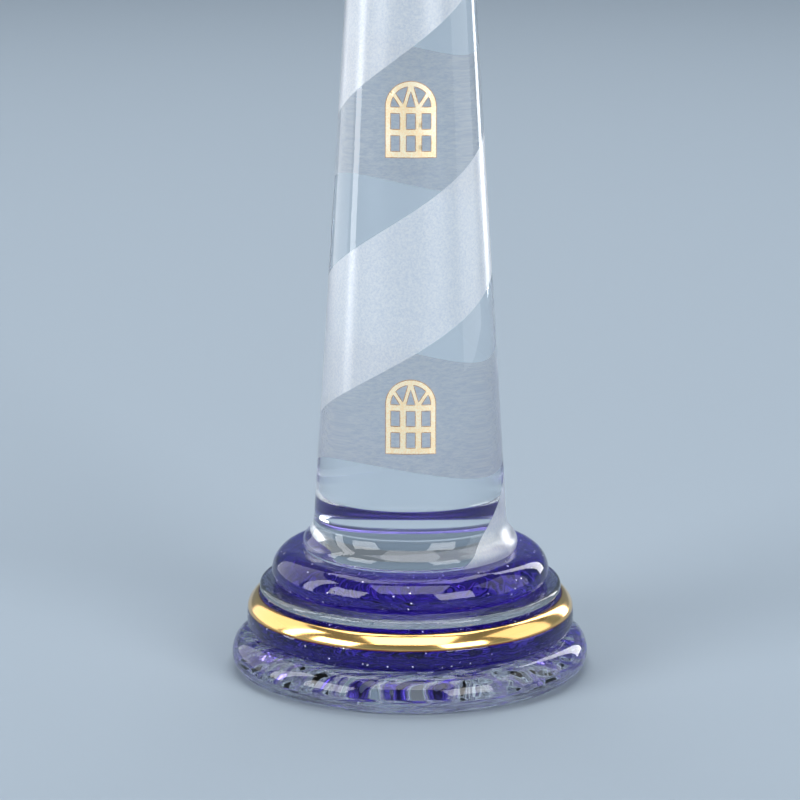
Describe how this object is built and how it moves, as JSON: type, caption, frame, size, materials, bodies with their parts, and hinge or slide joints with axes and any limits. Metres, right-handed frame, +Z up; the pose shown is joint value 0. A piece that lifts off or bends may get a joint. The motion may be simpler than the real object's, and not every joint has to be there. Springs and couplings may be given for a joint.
{
  "type": "glass lighthouse ornament",
  "caption": "Free-standing lighthouse ornament of solid tapered clear glass with a frosted spiral stripe and gold windows, on a stacked clear and cobalt glass base.",
  "frame": {"origin": "centre of the foot's underside, on the surface that the ornament stands on", "axes": "+Z up the tower to the finial; the windows face -Y"},
  "size_m": [0.07, 0.07, 0.2336],
  "materials": {
    "clear_glass": "flame-polished, clear",
    "cobalt_glass": "flame-polished, deep cobalt with seed bubbles",
    "frosted_glass": "sandblasted, white and matt",
    "gold_lustre": "bright fired gold lustre",
    "window_gold": "pale fired gold, slightly grainy"
  },
  "bodies": {
    "root": {"foot_disc": "clear_glass", "lower_blue_disc": "cobalt_glass", "lower_gold_band": "gold_lustre", "clear_step_disc": "clear_glass", "upper_blue_disc": "cobalt_glass", "tower_collar": "clear_glass", "tower": "clear_glass", "frosted_stripe": "frosted_glass", "lower_window": "window_gold", "middle_window": "window_gold", "upper_window": "window_gold", "neck_disc": "clear_glass", "gallery_disc": "cobalt_glass", "gallery_gold_band": "gold_lustre", "lantern_step_disc": "clear_glass", "lantern_glass": "clear_glass", "lantern_glazing_bars": "window_gold", "roof_disc": "clear_glass", "roof_dome": "cobalt_glass", "roof_gold_band": "gold_lustre", "finial": "gold_lustre"}
  },
  "joints": []
}
